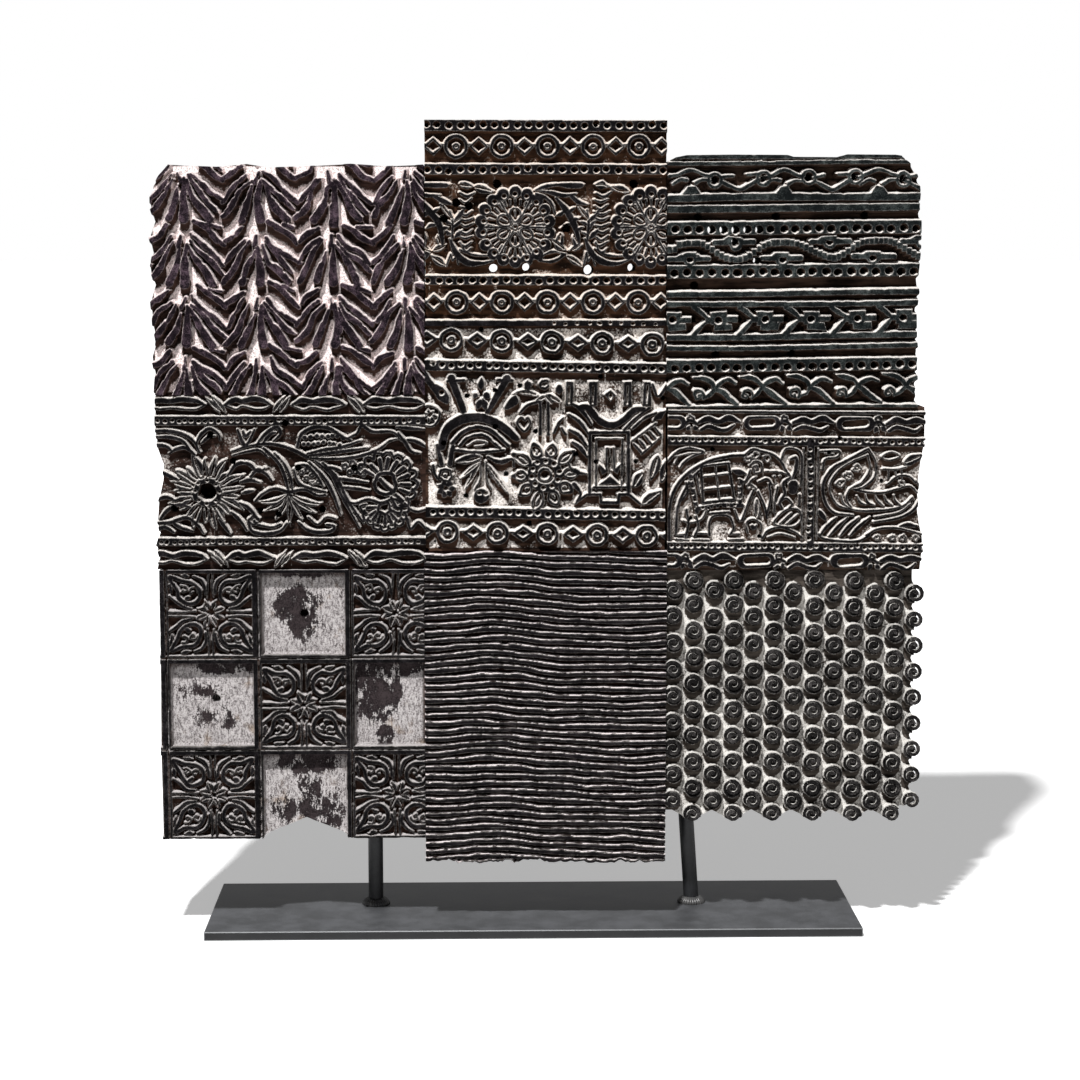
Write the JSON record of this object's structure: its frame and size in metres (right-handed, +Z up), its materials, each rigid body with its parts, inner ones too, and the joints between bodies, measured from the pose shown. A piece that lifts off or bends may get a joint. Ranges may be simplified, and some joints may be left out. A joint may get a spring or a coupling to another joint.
{
  "type": "carved printing block panel on a stand",
  "caption": "Panel of carved wooden textile printing blocks set edge to edge, held by screwed flat bars on two round posts welded to a steel base plate.",
  "frame": {"origin": "middle of the base plate's underside, on the surface that the stand rests on", "axes": "+X to the viewer's right, +Y away from the viewer, behind the panel, +Z up"},
  "size_m": [0.4968, 0.12, 0.5275],
  "materials": {
    "chevron_block_wood": "carved hardwood, printing faces stained black with dye, chalk left in the cuts",
    "floral_block_wood": "carved hardwood, printing faces stained black with dye, chalk left in the cuts",
    "chequer_block_wood": "carved hardwood, printing faces stained black with dye, chalk left in the cuts",
    "rosette_block_wood": "carved hardwood, printing faces stained black with dye, chalk left in the cuts",
    "pictorial_block_wood": "carved hardwood, printing faces stained black with dye, chalk left in the cuts",
    "ribbed_block_wood": "carved hardwood, printing faces stained black with dye, chalk left in the cuts",
    "banded_block_wood": "carved hardwood, printing faces stained black with dye, chalk left in the cuts",
    "elephant_block_wood": "carved hardwood, printing faces stained black with dye, chalk left in the cuts",
    "spiral_block_wood": "carved hardwood, printing faces stained black with dye, chalk left in the cuts",
    "blackened_steel": "blackened mild steel, waxed, low sheen",
    "bar_steel": "blackened flat bar, mill scale showing",
    "weld_steel": "rippled weld bead, blackened, brighter on its crests",
    "screw_steel": "zinc-plated cross-head wood screw"
  },
  "bodies": {
    "root": {"chevron_block": "chevron_block_wood", "floral_block": "floral_block_wood", "chequer_block": "chequer_block_wood", "rosette_block": "rosette_block_wood", "pictorial_block": "pictorial_block_wood", "ribbed_block": "ribbed_block_wood", "banded_block": "banded_block_wood", "elephant_block": "elephant_block_wood", "spiral_block": "spiral_block_wood", "base_plate": "blackened_steel", "left_post": "blackened_steel", "right_post": "blackened_steel", "top_bar": "bar_steel", "middle_bar": "bar_steel", "bottom_bar": "bar_steel", "left_post_weld": "weld_steel", "right_post_weld": "weld_steel", "left_bar_welds": "weld_steel", "right_bar_welds": "weld_steel", "top_bar_screws": "screw_steel", "middle_bar_screws": "screw_steel", "bottom_bar_screws": "screw_steel"}
  },
  "joints": []
}
